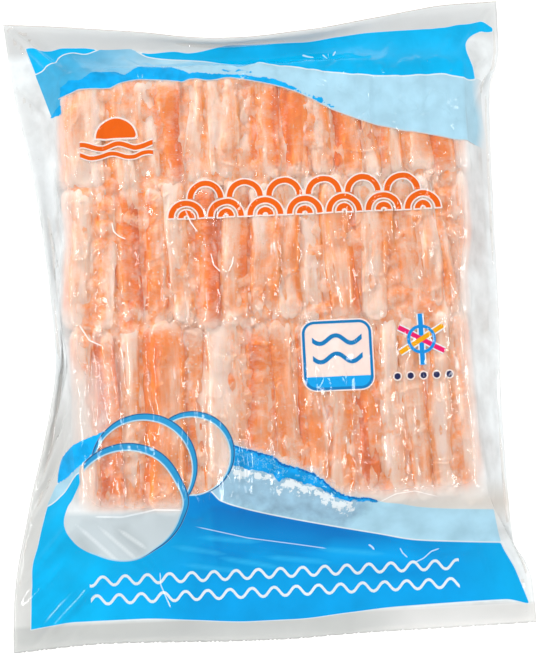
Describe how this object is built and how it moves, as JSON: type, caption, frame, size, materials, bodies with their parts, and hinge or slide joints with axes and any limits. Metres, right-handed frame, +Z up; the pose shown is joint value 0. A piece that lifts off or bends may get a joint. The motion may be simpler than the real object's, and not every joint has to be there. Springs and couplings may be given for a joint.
{
  "type": "frozen crab leg meat pack",
  "caption": "Sealed see-through film pack of frozen crab leg meat sticks in side by side rows, with blue wave print, lying flat with its printed face up",
  "frame": {"origin": "on the table, under the middle of the bag's bounding box", "axes": "+X across the rows of sticks, +Y along the bag towards its upper printed end, +Z up out of the printed face"},
  "size_m": [0.284, 0.353, 0.0261],
  "materials": {
    "film": "clear glossy film with blue print",
    "leg_meat": "frozen moist meat, pale pink to orange",
    "ice": "white frost and ice glaze"
  },
  "bodies": {
    "root": {"sealed_pack": "film"}
  },
  "joints": []
}
